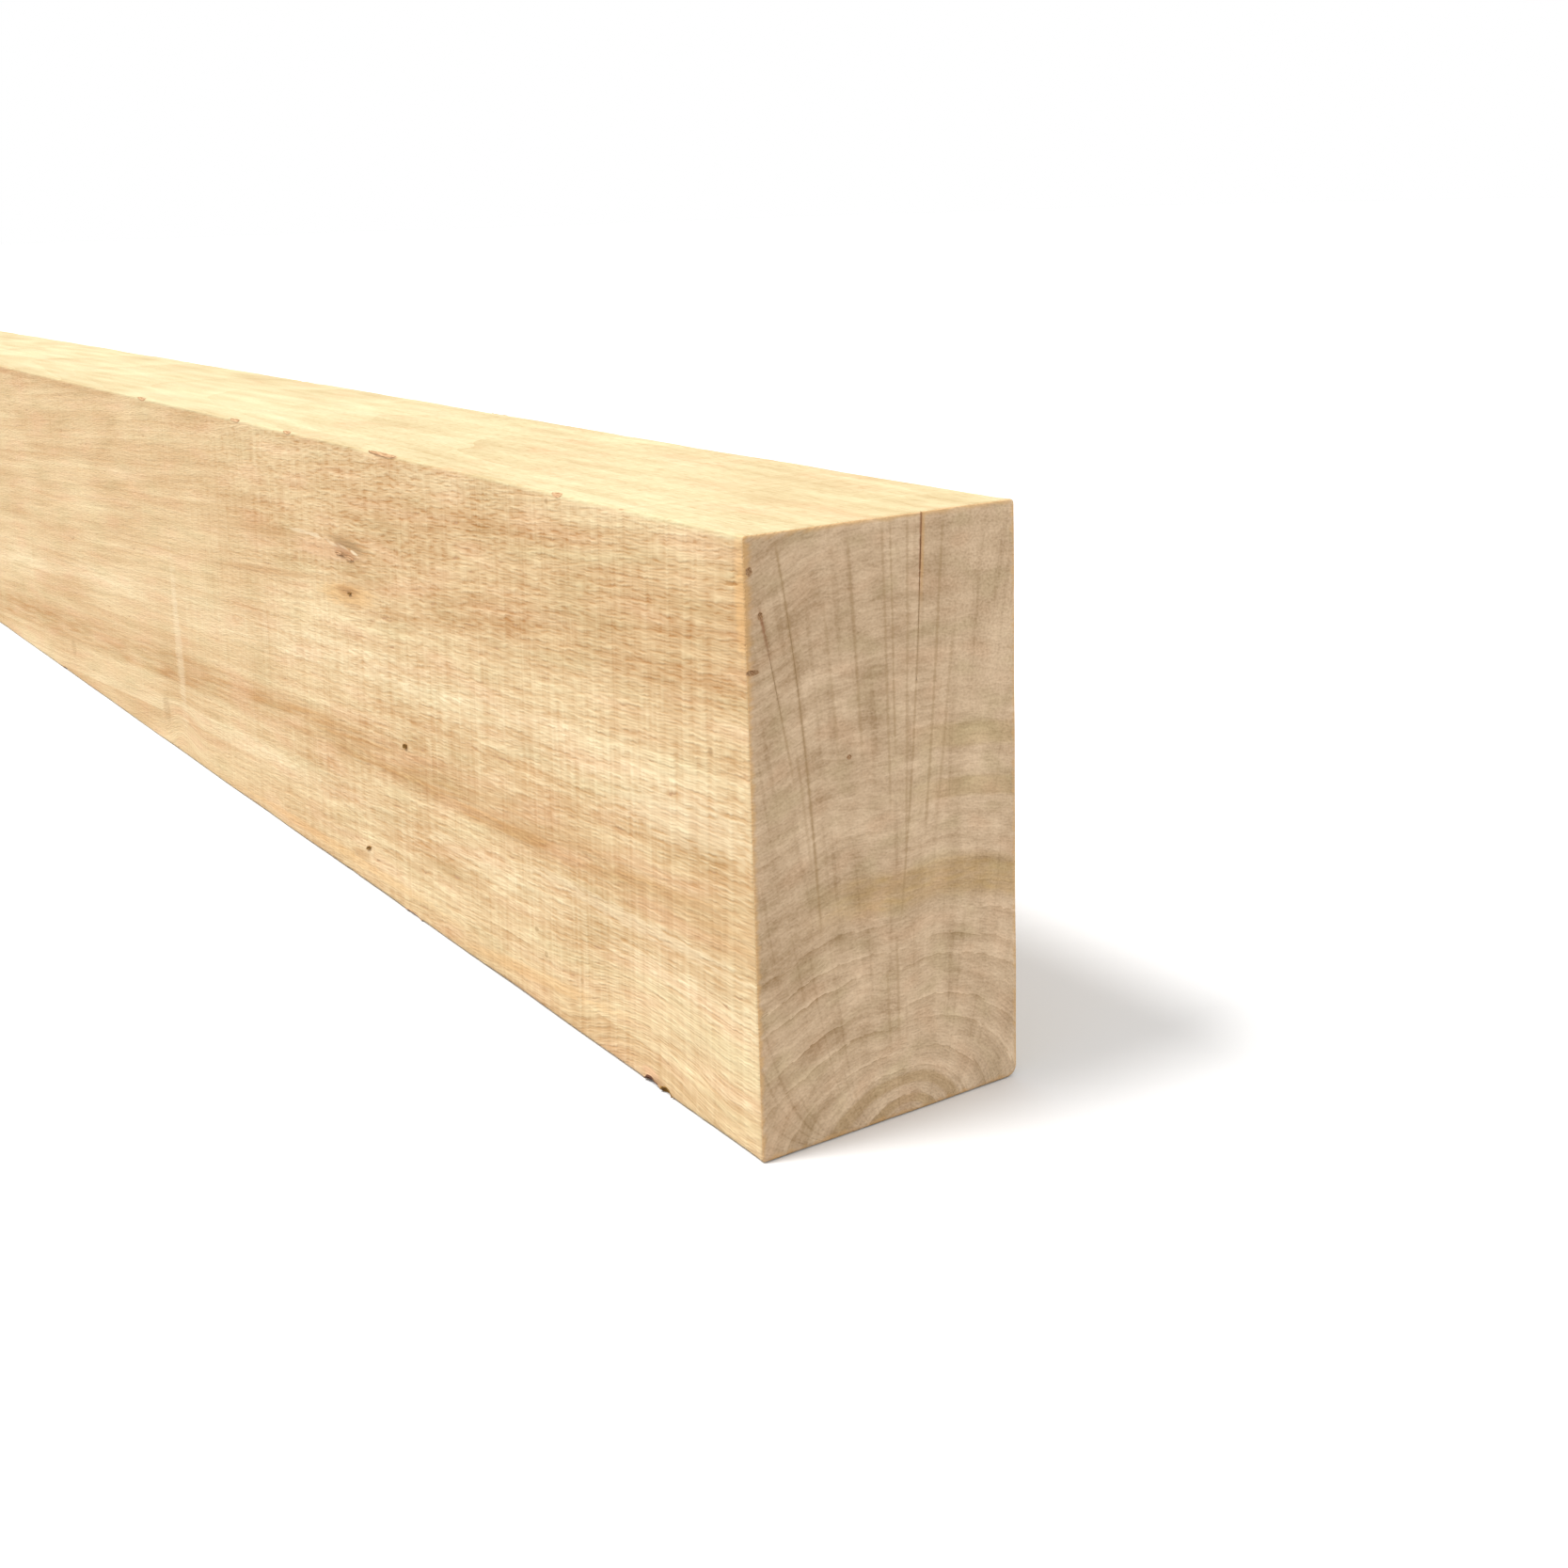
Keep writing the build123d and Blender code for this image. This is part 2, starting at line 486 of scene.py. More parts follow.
# %% Chips on the arrises that the picture doesn't show
CHIPS_EACH = 5
LEAST_CHIP = (4, 2.0, 1.8)
LARGEST_CHIP = (11, 3.2, 3.0)
picker = np.random.default_rng(5)
spacing = length / CHIPS_EACH
for arris, (side, level) in enumerate(((back, depth), (back, 0), (front, 0))):
    for chip in range(CHIPS_EACH):
        from_end = (chip + picker.uniform(0.3, 0.9)) * spacing
        sizes = picker.uniform(LEAST_CHIP, LARGEST_CHIP)
        cut_lump(from_end, side, level, *sizes, seed=30 + 10 * arris + chip)
cutter_piece = new_piece("cutters", cutters)
print("all cutters:", len(cutter_piece.data.polygons), "faces")

# %% Cut them all out at once
beam_mesh = bmesh.new()
verts = [beam_mesh.verts.new(point) for point in skin]
for quad, way in zip(quads, quad_ways):
    face = beam_mesh.faces.new([verts[index] for index in quad])
    face.material_index = END if way == 0 else SIDE
beam = new_piece("rough_sawn_beam", beam_mesh)
cut = beam.modifiers.new("cut", "BOOLEAN")
cut.object = cutter_piece
cut.operation = "DIFFERENCE"
cut.solver = "MANIFOLD"
seen = beam.evaluated_get(bpy.context.evaluated_depsgraph_get())
cut_mesh = bpy.data.meshes.new_from_object(seen)
beam.modifiers.clear()
beam.data = cut_mesh
bpy.data.objects.remove(cutter_piece)
kinds = np.zeros(len(cut_mesh.polygons), int)
cut_mesh.polygons.foreach_get("material_index", kinds)
print("faces of each finish:", dict(zip(FINISHES, np.bincount(kinds, minlength=len(FINISHES)).tolist())))

# %% [markdown]
# ## The saw's wander
# A band saw never cuts a true plane. The blade sways over half a metre, steps a little at each bite
# of the feed, and tears small dents where the grain turns. The skin is drawn inwards by the sum of
# these, never outwards, so the beam stays inside its own size. Coarse relief belongs in the mesh,
# because it shows in the outline; what is finer than the grid is left to the material.
# Inwards is towards the nearest point of a smaller box within. That holds at the rims of cuts too,
# where the mesh's own normals point anywhere.

# %% Draw the skin in
SWAY = 0.5
SWAY_SCALE = (380, 160, 210)
FEED_STEP = 0.09
FEED_SCALE = (6, 400, 300)
FEED_SLANT = 0.05
DENT = 1.6
DENT_SCALE = (38, 13, 13)
DENT_RARITY = 0.38
END_UNEVENNESS = 0.2
UNEVEN_SCALE = (30, 26, 26)
CORE_INSET = 10.0
END_TURN = 0.4


def read_points(mesh):
    values = np.zeros(len(mesh.vertices) * 3)
    mesh.vertices.foreach_get("co", values)
    return values.reshape(-1, 3)


def from_core(points):
    """The way from the nearest point of the smaller box to each point."""
    core_low = np.array([-near_end, front, 0]) + CORE_INSET
    core_high = np.array([near_end, back, depth]) - CORE_INSET
    return points - np.clip(points, core_low, core_high)


def solid_noise(points, scale, seed):
    """Smooth noise from about -1 to 1, with its own scale in each direction."""
    spread = points / np.array(scale) + seed
    return np.array([noise.noise(Vector(place)) for place in spread])


def verts_of_skin(mesh, kinds):
    found = np.zeros(len(mesh.vertices), bool)
    for face in mesh.polygons:
        if kinds[face.index] in (SIDE, END):
            found[list(face.vertices)] = True
    return found


at = read_points(cut_mesh)
facing = from_core(at)
facing /= np.maximum(np.linalg.norm(facing, axis=1), MM)[:, None]
skin_verts = verts_of_skin(cut_mesh, kinds)
on_end = np.clip((np.abs(facing[:, 0]) - END_TURN) / END_TURN, 0, 1)
slanted = at.copy()
slanted[:, 0] += FEED_SLANT * (at[:, 2] + at[:, 1])
sway = SWAY * (1 + solid_noise(at, SWAY_SCALE, seed=3))
feed = FEED_STEP * (1 + solid_noise(slanted, FEED_SCALE, seed=17))
dents = DENT * np.maximum(solid_noise(at, DENT_SCALE, seed=29) - DENT_RARITY, 0)
uneven = END_UNEVENNESS * (1 + solid_noise(at, UNEVEN_SCALE, seed=41))
inward = (sway + feed + dents) * (1 - on_end) + uneven * on_end
at -= facing * (inward * skin_verts)[:, None]
cut_mesh.vertices.foreach_set("co", at.ravel() * MM)
cut_mesh.update()
print(f"drawn in by {inward.min():.2f} to {inward.max():.2f} mm")

# %% Smooth over the worn arrises, sharp at the rims of cuts
SHARP = math.radians(38)
cut_mesh.polygons.foreach_set("use_smooth", np.ones(len(cut_mesh.polygons), bool))
edges = bmesh.new()
edges.from_mesh(cut_mesh)
for edge in edges.edges:
    if len(edge.link_faces) == 2 and edge.calc_face_angle(0) > SHARP:
        edge.smooth = False
edges.to_mesh(cut_mesh)
edges.free()
print("triangles:", sum(len(face.vertices) - 2 for face in cut_mesh.polygons))

# %% [markdown]
# ## A map for a picture of the finish
# Programs that can't run the formulas below show a picture of the finish instead. A map says which
# spot of that square picture belongs to each corner of each face. Blender can unfold the beam by
# itself, but long thin strips waste the square, and the rings on the ends then get few pixels.
# Here each long face is cut in two and the strips are stacked, while the ends have a column of
# their own, at more than twice the scale. Only the walls of the cuts are left to Blender.

# %% Stack the strips, and set the ends beside them
MAP_NAME = "OFBake"
STRIPS_WIDE = 0.8
END_HIGH = 0.37
MAP_GAP = 0.005
ALONG, ACROSS, UP = np.eye(3)


def fill(places, corner, size):
    """Stretches places on a plane over one rectangle of the square, given its lower left corner."""
    low = places.min(axis=0)
    return corner + (places - low) / (places.max(axis=0) - low) * size


corner_points = np.zeros(len(cut_mesh.loops), int)
cut_mesh.loops.foreach_get("vertex_index", corner_points)
corner_counts = np.zeros(len(cut_mesh.polygons), int)
cut_mesh.polygons.foreach_get("loop_total", corner_counts)
face_of_corner = np.repeat(np.arange(len(corner_counts)), corner_counts)
first_corners = np.cumsum(corner_counts) - corner_counts
middles = np.add.reduceat(at[corner_points], first_corners) / corner_counts[:, None]
away = from_core(middles)
sideways = np.abs(away[:, 1]) > np.abs(away[:, 2])
spots = np.zeros((len(corner_points), 2))

# The faces of each long side, which ways are right and up on it, and its height
long_sides = [
    (sideways & (away[:, 1] < 0), ALONG, UP, depth),
    (sideways & (away[:, 1] > 0), -ALONG, UP, depth),
    (~sideways & (away[:, 2] < 0), ALONG, -ACROSS, thickness),
    (~sideways & (away[:, 2] > 0), ALONG, ACROSS, thickness),
]
row = 0
for on_side, right, up, high in long_sides:
    for half in (middles[:, 0] < 0, middles[:, 0] >= 0):
        chosen = ((kinds == SIDE) & on_side & half)[face_of_corner]
        share = high / (4 * (depth + thickness))
        places = at[corner_points[chosen]] @ np.stack([right, up], axis=1)
        spots[chosen] = fill(places, (0, row), (STRIPS_WIDE, share - MAP_GAP))
        row += share

column = STRIPS_WIDE + MAP_GAP
row = 0
for at_end, right in ((middles[:, 0] > 0, ACROSS), (middles[:, 0] < 0, -ACROSS)):
    chosen = ((kinds == END) & at_end)[face_of_corner]
    places = at[corner_points[chosen]] @ np.stack([right, UP], axis=1)
    spots[chosen] = fill(places, (column, row), (1 - column, END_HIGH))
    row += END_HIGH + MAP_GAP
print("strips", STRIPS_WIDE, "wide, and the ends", END_HIGH, "high, of a square 1 wide")

# %% Let Blender unfold the walls of the cuts into what is left
UNFOLD_ANGLE = math.radians(66)
UNFOLD_GAP = 0.01
on_wall = (kinds != SIDE) & (kinds != END)
cut_mesh.uv_layers.new(name=MAP_NAME)
cut_mesh.polygons.foreach_set("select", on_wall)
bpy.context.view_layer.objects.active = beam
bpy.context.tool_settings.mesh_select_mode = (False, False, True)
bpy.ops.object.mode_set(mode="EDIT")
bpy.ops.uv.smart_project(angle_limit=UNFOLD_ANGLE, island_margin=UNFOLD_GAP)
bpy.ops.object.mode_set(mode="OBJECT")
finish_map = cut_mesh.uv_layers[MAP_NAME]
unfolded = np.zeros(len(corner_points) * 2)
finish_map.uv.foreach_get("vector", unfolded)
chosen = on_wall[face_of_corner]
spots[chosen] = fill(unfolded.reshape(-1, 2)[chosen], (column, row), (1 - column, 1 - row))
finish_map.uv.foreach_set("vector", spots.ravel())
print("wall faces unfolded by Blender:", on_wall.sum())
print("map from", spots.min(axis=0).round(3), "to", spots.max(axis=0).round(3))

# %% [markdown]
# ## A language for wood
# The finish is one formula for a whole log, cut open wherever the beam's skin passes through it.
# Shader nodes can hold such a formula, but wired by hand they soon hide what they say. The small
# class below lets the formula be written as plain arithmetic: each + or * adds one node. All
# lengths in the formulas are millimetres.

# %% Arithmetic that makes shader nodes
SHEEN = 0.25


class Field:
    """A number or a set of three that varies over the wood: the output of one shader node."""

    tree = None

    def __init__(self, socket):
        self.socket = socket

    def __add__(self, other):
        return maths("ADD", self, other)

    __radd__ = __add__

    def __sub__(self, other):
        return maths("SUBTRACT", self, other)

    def __rsub__(self, other):
        return maths("SUBTRACT", other, self)

    def __mul__(self, other):
        return maths("MULTIPLY", self, other)

    __rmul__ = __mul__

    def __truediv__(self, other):
        return maths("DIVIDE", self, other)

    def __rtruediv__(self, other):
        return maths("DIVIDE", other, self)

    def __pow__(self, other):
        return maths("POWER", self, other)


def put(value, socket):
    """Wires a field to a socket, or writes a plain number or colour on it."""
    if isinstance(value, Field):
        Field.tree.links.new(value.socket, socket)
    elif socket.type == "RGBA":
        socket.default_value = (*value, 1)
    else:
        socket.default_value = value


def maths(operation, *values):
    node = Field.tree.nodes.new("ShaderNodeMath")
    node.operation = operation
    for value, socket in zip(values, node.inputs):
        put(value, socket)
    return Field(node.outputs[0])


def ease(value, low, high):
    """0 below low, 1 above high, and a smooth climb between them; falling if low is the larger."""
    node = Field.tree.nodes.new("ShaderNodeMapRange")
    node.interpolation_type = "SMOOTHSTEP"
    put(value, node.inputs["Value"])
    put(low, node.inputs["From Min"])
    put(high, node.inputs["From Max"])
    return Field(node.outputs["Result"])


def grain_noise(x, y, z, detail=0.0):
    """Smooth noise that averages 0 and mostly stays between -1 and 1."""
    vector = Field.tree.nodes.new("ShaderNodeCombineXYZ")
    for value, socket in zip((x, y, z), vector.inputs):
        put(value, socket)
    node = Field.tree.nodes.new("ShaderNodeTexNoise")
    node.inputs["Scale"].default_value = 1
    node.inputs["Detail"].default_value = detail
    Field.tree.links.new(vector.outputs[0], node.inputs["Vector"])
    return maths("MULTIPLY_ADD", Field(node.outputs[0]), 4, -2)


def tint(colour, other, amount):
    """Moves a colour towards another one by amount."""
    node = Field.tree.nodes.new("ShaderNodeMix")
    node.data_type = "RGBA"
    put(amount, node.inputs["Factor"])
    put(colour, node.inputs["A"])
    put(other, node.inputs["B"])
    return Field(node.outputs["Result"])


def swing(colour, amount, reach):
    """Multiplies each channel by 1 + amount * its own reach, so that darker can also mean browner."""
    share = Field.tree.nodes.new("ShaderNodeVectorMath")
    share.operation = "MULTIPLY_ADD"
    put(amount, share.inputs[0])
    share.inputs[1].default_value = reach
    share.inputs[2].default_value = (1, 1, 1)
    product = Field.tree.nodes.new("ShaderNodeVectorMath")
    product.operation = "MULTIPLY"
    put(colour, product.inputs[0])
    put(Field(share.outputs[0]), product.inputs[1])
    return Field(product.outputs[0])


def start_material(name):
    """Begins a finish, and gives the place in the wood as the fields x, y and z."""
    material = bpy.data.materials[name]
    material.use_nodes = True
    Field.tree = material.node_tree
    place = Field.tree.nodes.new("ShaderNodeTexCoord")
    apart = Field.tree.nodes.new("ShaderNodeSeparateXYZ")
    Field.tree.links.new(place.outputs["Object"], apart.inputs[0])
    return [Field(output) / MM for output in apart.outputs]


def finish_material(name, colour, roughness, height):
    """Wires a finish to its shader. height is the fine relief, in millimetres."""
    nodes = Field.tree.nodes
    shader = nodes["Principled BSDF"]
    shader.inputs["Specular IOR Level"].default_value = SHEEN
    bump = nodes.new("ShaderNodeBump")
    bump.inputs["Distance"].default_value = MM
    put(height, bump.inputs["Height"])
    put(colour, shader.inputs["Base Color"])
    put(roughness, shader.inputs["Roughness"])
    Field.tree.links.new(bump.outputs["Normal"], shader.inputs["Normal"])
    print(name, "has", len(nodes), "nodes")


# %% [markdown]
# ## Where a point lies in the log
# A log grows outwards from its pith, in rings. So the first thing to know about a point of the
# beam is which ring it lies in. The pith ran just under this beam at its near end, and sinks away
# from it further along, because the log was a little bent. The rings aren't round: they are
# flattened from above, more to the left than to the right, and dip a little over the pith. One
# formula for the whole log makes the rings on the end run on into the streaks along the sides.

# %% How far out from the pith a point grew
PITH_BOW = 35.0
PITH_BOW_LENGTH = 1600.0
FLAT_LEFT = 0.53
FLAT_RIGHT = 0.74
LEFT_DROOP = 0.052
DIP = 2.0
WANDER = 1.2


def ring_distance(y, z, along):
    """The height over the pith at which a point's ring passes over it, in millimetres."""
    sunk = PITH_BOW * (1 - maths("COSINE", along * (math.pi / PITH_BOW_LENGTH)))
    side = y - PITH_SIDE
    up = z + PITH_DROP + sunk + grain_noise(along / 160, y / 34, z / 30, 1) * WANDER
    wide = side * (FLAT_LEFT + (FLAT_RIGHT - FLAT_LEFT) * ease(side, -18, 18))
    droop = LEFT_DROOP * up * ease(side, -26, -60)
    dip = DIP * ease(maths("ABSOLUTE", side), 17, 0) * ease(up, 18, 45) * ease(up, 150, 95)
    return (wide * wide + up * up) ** 0.5 + droop + dip


def band(value, middle, half_width, softness=0.5):
    """1 where a value is near the middle, and 0 from half_width away from it."""
    return ease(maths("ABSOLUTE", value - middle), half_width, half_width * softness)


FIRST_RING = 9.5
RING_CROWDING = 0.000125
UNEVEN_YEARS = 0.35
LATE_SHARPNESS = 9


def year_rings(out, place, other):
    """The dark late wood and the pale early wood of each ring, which grow closer away from the pith."""
    turns = out / FIRST_RING + out * out * RING_CROWDING
    turns = turns + grain_noise(out / 13, 0.5, 0.5) * UNEVEN_YEARS
    step = maths("FRACT", turns)
    strength = 0.6 + 0.6 * grain_noise(maths("FLOOR", turns) * 7.3, place, other)
    return step**LATE_SHARPNESS * strength, (1 - step) ** 4 * strength


# %% [markdown]
# ## The sawn sides
# The colour starts from a plain tone. Broad stains follow the rings: a red-brown one a third of
# the way up, and a fainter one near the top. Over them lie the fibres, short dashes that climb
# towards the near end, and across the fibres run the marks of the blade, which also shift the
# dashes a little and give the woven look of rough timber. Both fade away from the near end.
# Relief is summed from the same fields. A band below is given by how far out from the pith its
# middle lies, and by its half width.

# %% Fibres and blade marks
SIDE_TONE = (0.735, 0.53, 0.295)
SUNLIT_TOP_TONE = (0.625, 0.515, 0.292)
BROWN_STAIN = (0.52, 0.285, 0.115)
PALE_STREAK = (0.88, 0.70, 0.44)
PINK = (0.80, 0.50, 0.30)
OLIVE = (0.52, 0.41, 0.20)
SIDE_REACH = (0.62, 1.0, 1.35)
SIDE_ROUGHNESS = 0.78
GRAIN_SLOPE = 0.07
BULGE = 13.0
BULGE_FROM_END = 72
FAR_BULGE = 9.0
FAR_BULGE_FROM_END = 590
LOW_BAND = (30, 6)
BROWN_BAND = (84, 12)
HIGH_BAND = (178, 38)
LOW_PALE_BAND = (59, 8)
HIGH_PALE_BAND = (122, 17)

x, y, z = start_material("sawn_side")
along = near_end - x
out = ring_distance(y, z, along)
late_wood, early_wood = year_rings(out, along / 220, y / 25)
on_front = ease(y, front + 4, front + 2)
on_top = ease(z, depth - 2.6, depth - 0.8)

feed = along + (z + y) * FEED_SLANT
blade = grain_noise(feed / 5, y / 300, z / 130, 1)
bite = grain_noise(feed / 1.8, y / 60, z / 22)
bulge = BULGE * ease(maths("ABSOLUTE", along - BULGE_FROM_END), 64, 0) * ease(z, 62, 0)
far_bulge = FAR_BULGE * ease(maths("ABSOLUTE", along - FAR_BULGE_FROM_END), 42, 0) * ease(z, 48, 5)
grain = z + along * GRAIN_SLOPE - (bulge + far_bulge) * on_front
chopped = grain + bite * 0.14 + blade * 0.15
dash = grain_noise(along / 6, y / 0.9, chopped / 0.75)
long_dash = grain_noise(along / 26, y / 2.2, chopped / 1.8)
streak = grain_noise(along / 140, y / 8, grain / 6, 1)
cloud = grain_noise(along / 110, y / 45, z / 36, 1)
hue = grain_noise(along / 42, y / 16 + 30, grain / 8)

# %% Stains, and the colour of the sides
near_the_top = ease(z, 115, 170)
woven = ease(along, 260, 160) * ease(along, 10, 40)
crisp = (1 - 0.7 * ease(along, 250, 650)) * (1 - 0.5 * on_top)
dark_flecks = ease(dash, -0.4, -1.0) * (0.35 + 0.65 * near_the_top)
brown = band(out, *BROWN_BAND) * (0.75 + 0.5 * long_dash + 0.8 * streak) * (1 - 0.35 * ease(along, 90, 0))
brown = brown + band(out, *HIGH_BAND, 0.3) * ease(along, 700, 100) * 0.42 + band(out, *LOW_BAND) * 0.4
pale = band(out, *LOW_PALE_BAND, 0.1) * 0.8 + band(out, *HIGH_PALE_BAND, 0.1) * 0.8
fine = dash * 0.075 + long_dash * 0.09 + bite * (0.025 + 0.035 * woven) - dark_flecks * 0.2
fine = fine + ease(dash, 0.4, 1.0) * 0.1
change = fine * crisp + streak * 0.125 + cloud * 0.1 + blade * 0.085 * crisp
change = change + early_wood * 0.09 - late_wood * 0.11 - near_the_top * on_front * 0.05
change = change + ease(along, 130, 0) * ease(z, 70, 20) * 0.08
change = change - band(z, depth - 3.5, 2.5) * ease(along, 250, 600) * on_front * 0.1
# Painted light: the front face is lightened along its bottom arris, against the shade where the arris turns
# under towards the floor.
change = change + ease(z, 2.5, 0.5) * on_front * 0.15

# Painted light: the top face gets a yellower tone of its own. It is set for how the key sun lights the top,
# not for the wood, which is the same on every face.
tone = tint(SIDE_TONE, SUNLIT_TOP_TONE, on_top)
tone = tint(tone, BROWN_STAIN, brown * 0.6)
tone = tint(tone, PALE_STREAK, pale * 0.5)
tone = tint(tone, PINK, ease(hue, 0.1, 1.2) * 0.3)
tone = tint(tone, OLIVE, ease(hue, -0.1, -1.2) * 0.22)
tone = swing(tone, change, SIDE_REACH)

# %% [markdown]
# ## Marks that make this piece this piece
# Each mark on the front face is a soft ellipse with a ragged rim, drawn out along the grain. The
# pin knots have a brown halo round the pit that was cut for them. The torn streak has a painted
# shadow above it, and bright lifted fibres that are partly pale wood and partly painted highlight.
# The bark pocket has a pink rim, a painted highlight on its upper lip.

# %% Marks on the front face
KNOT_RED = (0.37, 0.15, 0.065)
DARK_BROWN = (0.33, 0.18, 0.08)
ORANGE = (0.78, 0.46, 0.19)
# The brown of the painted shadow over the torn streak, and of small dark spots in the wood.
SHADOW_AND_SPOT_BROWN = (0.42, 0.26, 0.12)
CREAM = (0.95, 0.80, 0.55)
# Colour and strength; then the middle, as its distance from the near end and its height; then
# half the length, half the height, and how far the mark sinks with each millimetre from that end
MARKS = [
    # Over the torn streak: a pink wash, partly the wood's own tint and partly painted highlight; a painted
    # shadow above it; a red-brown haze and a dark stained line; then the cream lines of the lifted fibres,
    # partly pale wood and partly painted highlight.
    (PINK, 0.4, 345, 150.5, 48, 6.5, 0.03),
    (SHADOW_AND_SPOT_BROWN, 0.9, 318, 155.8, 25, 3.2, -0.05),
    (KNOT_RED, 0.35, 322, 152.0, 17, 3.6, -0.05),
    (DARK_BROWN, 0.85, 322, 150.5, 13, 1.7, -0.02),
    (CREAM, 0.35, 337, 154.0, 8, 1.0, -0.08),
    (CREAM, 0.5, 357, 155.0, 12, 1.3, 0.03),
    (CREAM, 0.4, 378, 154.6, 12, 1.2, 0.04),
    (CREAM, 0.3, 322, 153.9, 8, 0.9, -0.1),
    (CREAM, 0.7, 311.5, 153.0, 6, 1.0, -0.18),
    (ORANGE, 0.6, 323, 133, 36, 6.0, 0.08),
    (BROWN_STAIN, 0.8, 322, 134.5, 15, 3.2, 0.05),
    (DARK_BROWN, 0.6, 320, 134.0, 5, 1.4, 0.05),
    (BROWN_STAIN, 0.5, 430, 129, 95, 2.4, 0.09),
    (BROWN_STAIN, 0.35, 430, 149, 60, 3.5, 0.06),
    (BROWN_STAIN, 0.6, 268.4, 76.4, 4.4, 2.4, 0.2),
    (BROWN_STAIN, 0.5, 318.4, 18.4, 5.0, 1.8, 0.4),
    (BROWN_STAIN, 0.6, 329, 13.0, 14, 2.8, 0.1),
    (ORANGE, 0.4, 150, 12, 80, 3.6, 0.11),
    (ORANGE, 0.4, 360, 8, 150, 3.2, 0.02),
    (ORANGE, 0.55, 2, 180, 4.5, 24, 0),
    (CREAM, 0.25, 45, 101, 48, 11.0, 0.05),
    (CREAM, 0.35, 85, 56.5, 90, 4.0, 0.03),
    (SHADOW_AND_SPOT_BROWN, 0.6, 153, 31, 1.9, 1.3, 0.1),
    (SHADOW_AND_SPOT_BROWN, 0.6, 146, 23, 1.7, 1.4, 0.1),
    (SHADOW_AND_SPOT_BROWN, 0.5, 118, 22, 1.7, 1.4, 0.1),
    (SHADOW_AND_SPOT_BROWN, 0.6, 23, 129, 1.8, 1.8, 0),
    (SHADOW_AND_SPOT_BROWN, 0.6, 126, 196, 2.0, 1.1, 0),
    (CREAM, 0.3, 584, 66, 8, 58, 0),
    (SHADOW_AND_SPOT_BROWN, 0.35, 619, 21, 9, 9, 0),
    (SHADOW_AND_SPOT_BROWN, 0.3, 825, 21, 7, 8, 0),
    # The pink rim over the bark pocket is a painted highlight on its upper lip.
    (PINK, 0.7, 70, 4.6, 7, 2.4, 0),
    (DARK_BROWN, 0.5, 65, 1.8, 10, 3.0, 0),
]

ragged = dash * 0.45 + long_dash * 0.35 + 1
for colour, strength, from_end, level, half_length, half_height, slope in MARKS:
    offset = along - from_end
    wide = offset / half_length
    high = (z - level + offset * slope) / half_height
    inside = ease(wide * wide + high * high, ragged, 0.1)
    tone = tint(tone, colour, inside * strength * on_front)

height = dash * 0.05 + long_dash * 0.05 + blade * 0.07 + bite * 0.05
finish_material("sawn_side", tone, SIDE_ROUGHNESS + dash * 0.04, height)

# %% [markdown]
# ## The cut ends
# An end shows the fibres as a bundle of open tubes: it drinks light, so it is greyer and darker
# than the sides. Its marks are of three kinds. Fine pale dashes lie along the rings, thin dark
# lines run out along the rays, and over the old pith the rings themselves show as dark and pale
# arches. The saw has torn the rim a little, and left it orange.

# %% Rings, rays and pores of the ends
END_TONE = (0.77, 0.556, 0.355)
END_REACH = (0.85, 1.0, 1.2)
END_ROUGHNESS = 0.82
BAND_BROWN = (0.57, 0.37, 0.165)
RAY_BROWN = (0.47, 0.30, 0.145)
RIM_ORANGE = (0.85, 0.53, 0.24)
END_BROWN_BAND = (82, 9)
OLIVE_BANDS = [(129, 5), (112, 4)]
DARK_ARCHES = [(15, 2.5), (7.5, 2)]
PALE_ARCHES = [(19.5, 3), (11, 2)]

x, y, z = start_material("sawn_end")
along = near_end - x
out = ring_distance(y, z, along)
low_down = 0.2 + 0.8 * ease(out, 105, 50)
plain_corner = ease(y, 8, 40) * ease(z, 110, 165)
spread = ray_spread(maths("MAXIMUM", z + PITH_DROP, 1))
spoke = (y - PITH_SIDE) / spread

tangent = grain_noise(y / 2.2, out / 0.6, along)
wide_tangent = grain_noise(y / 6, out / 1.6, along)
speckle = grain_noise(y / 0.9, z / 0.8, along)
rays = grain_noise(spoke * 1.3, out / 40, along)
wide_rays = grain_noise(spoke / 3, out / 30, along)
ring_tone = grain_noise(y / 45, out / 5, along, 1)
patch = grain_noise(y / 15, out / 8, along, 1)
hue = grain_noise(y / 12 + 40, out / 8, along)
late_wood, early_wood = year_rings(out + tangent * 0.3 + wide_tangent * 0.4, y / 22, along)

change = (tangent * 0.07 + wide_tangent * 0.08) * (1 - 0.7 * plain_corner)
change = change + speckle * (0.07 + 0.05 * plain_corner) + patch * 0.09 + wide_rays * 0.095
change = change + ring_tone * 0.12 * (1 - 0.6 * plain_corner) + y * 0.002
change = change - ease(rays, 0.45, 1.1) * 0.11 + ease(rays, -0.5, -1.1) * 0.05
change = change + (early_wood * 0.22 - late_wood * 0.2) * low_down
# Painted light: the end is lightened a little at mid height and darkened under its top, standing in for the
# floor's bounce light that brightens its lower part.
change = change + band(z, 108, 18, 0.1) * 0.03 - band(z, 172, 26, 0.1) * 0.07
change = change + band(out, *PALE_ARCHES[0]) * 0.12 + band(out, *PALE_ARCHES[1]) * 0.08
brown = band(out, *END_BROWN_BAND, 0.4) * ease(y, -40, -5) * (0.85 + 0.25 * wide_tangent)
olive = (band(out, *OLIVE_BANDS[0]) + band(out, *OLIVE_BANDS[1])) * ease(y, 0, 28)
rim = maths("MINIMUM", maths("MINIMUM", y - front, back - y), maths("MINIMUM", z, depth - z))

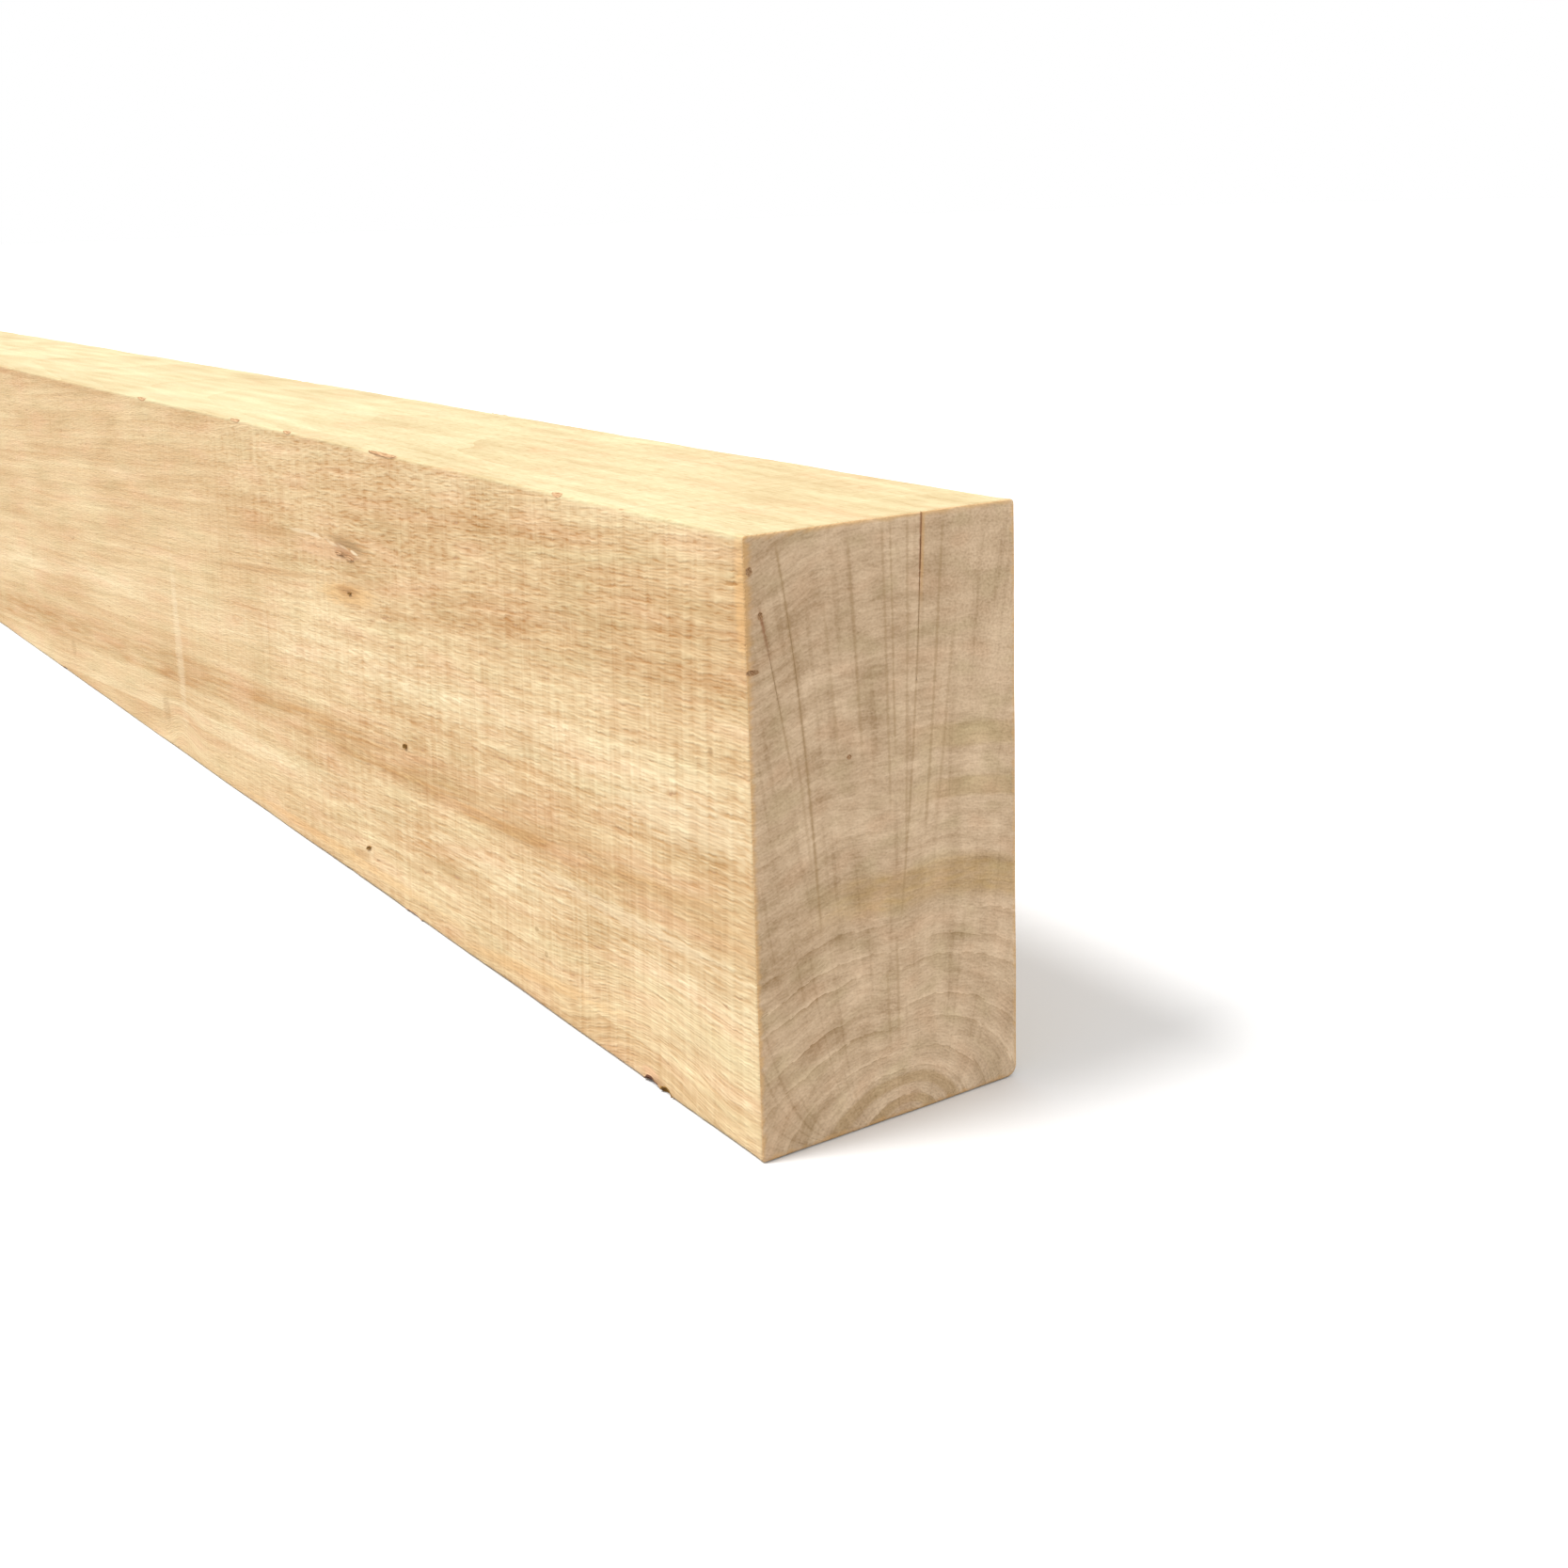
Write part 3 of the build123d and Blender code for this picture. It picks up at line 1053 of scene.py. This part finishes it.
brown = brown * 0.82 + olive * 0.4
brown = brown + band(out, *DARK_ARCHES[0]) * 0.45 + band(out, *DARK_ARCHES[1]) * 0.5
tone = tint(END_TONE, BAND_BROWN, brown + late_wood * low_down * 0.2)
tone = tint(tone, OLIVE, olive * 0.15 + ease(hue, -0.1, -1.2) * 0.25)
tone = tint(tone, PINK, ease(hue, 0.1, 1.2) * 0.25)
tone = swing(tone, change, END_REACH)
tone = tint(tone, RIM_ORANGE, ease(rim + wide_tangent * 0.5, 2.4, 0.4) * 0.75)
torn_rim = ease(y + wide_tangent * 0.8, front + 3.6, front + 1) * ease(z, 140, 165)
tone = tint(tone, ORANGE, torn_rim * 0.55)

# %% The stained lines of the checks and the plainest rays, on the near end
# Colour and strength, where the ray meets the top face and how it bows, then the line's top, its
# bottom and half its width
RAY_LINES = [
    (RAY_BROWN, 0.35, *LEFT_CHECK, 197, 62, 1.3),
    (RAY_BROWN, 0.5, *LEFT_CHECK, 194, 66, 0.7),
    (KNOT_RED, 0.75, *EDGE_CHECK, 176, 158, 0.9),
    (RAY_BROWN, 0.45, *EDGE_CHECK, 160, 112, 0.8),
    (ORANGE, 0.6, MAIN_CHECK[0] + 0.7, MAIN_CHECK[1], 203, 165, 1.3),
    (KNOT_RED, 0.75, *MAIN_CHECK, 203, 168, 0.7),
    (RAY_BROWN, 0.45, *MAIN_CHECK, 174, 62, 0.8),
    (RAY_BROWN, 0.4, -1.5, 0, 197, 98, 0.9),
    (RAY_BROWN, 0.45, 1.8, 0, 197, 116, 0.8),
    (RAY_BROWN, 0.4, 8.6, -1.0, 199, 80, 0.9),
    (RAY_BROWN, 0.45, 22.8, -3.0, 196, 88, 1.0),
    (RAY_BROWN, 0.4, -15.0, 0, 194, 118, 1.0),
    (RAY_BROWN, 0.3, -27.0, 0, 174, 118, 1.0),
    (RAY_BROWN, 0.35, 30.5, -4.0, 158, 92, 1.0),
    (RAY_BROWN, 0.3, -46.5, 0, 130, 80, 1.0),
    (RAY_BROWN, 0.35, -7.0, 0, 52, 18, 1.0),
    (RAY_BROWN, 0.35, 0.0, 0, 62, 20, 0.9),
]

on_near_end = ease(along, 60, 30)
broken = ease(wide_tangent, 0.0, 1.0) * 0.3
for colour, strength, at_top, bow, top, bottom, half_width in RAY_LINES:
    away = maths("ABSOLUTE", y - ray_side(at_top, bow, z, spread)) + broken
    span = ease(z, top + 3, top - 3) * ease(z, bottom, bottom + 18)
    tone = tint(tone, colour, ease(away, half_width, 0.2 * half_width) * span * strength * on_near_end)

height = tangent * 0.04 + speckle * 0.05 - ease(rays, 0.5, 1.1) * 0.05
finish_material("sawn_end", tone, END_ROUGHNESS, height)

# %% The walls of the cuts
WALL_ROUGHNESS = 0.85
WALL_TONES = {
    "split_wall": ((0.36, 0.17, 0.07), (0.56, 0.32, 0.15)),
    "torn_wood": ((0.42, 0.23, 0.11), (0.68, 0.45, 0.25)),
    "old_bark": ((0.11, 0.046, 0.026), (0.28, 0.13, 0.075)),
    "dead_knot": ((0.15, 0.072, 0.014), (0.40, 0.22, 0.055)),
}
for wall, (dark, light) in WALL_TONES.items():
    x, y, z = start_material(wall)
    fibre = grain_noise(x / 6, y / 0.5, z / 0.5, 2)
    tone = tint(dark, light, ease(fibre, -0.8, 0.8))
    finish_material(wall, tone, WALL_ROUGHNESS, fibre * 0.1)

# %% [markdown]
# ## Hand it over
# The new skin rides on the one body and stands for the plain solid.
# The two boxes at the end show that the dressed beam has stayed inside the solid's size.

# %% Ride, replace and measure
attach(beam, "root")
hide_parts("sawn_beam")
low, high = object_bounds()
sizes = {"cad": [list(cad_low), list(cad_high)], "visual": [list(low), list(high)]}
room = [*(low - cad_low), *(cad_high - high)]
print("the visual box is within the CAD box by", [round(value / MM, 2) for value in room])
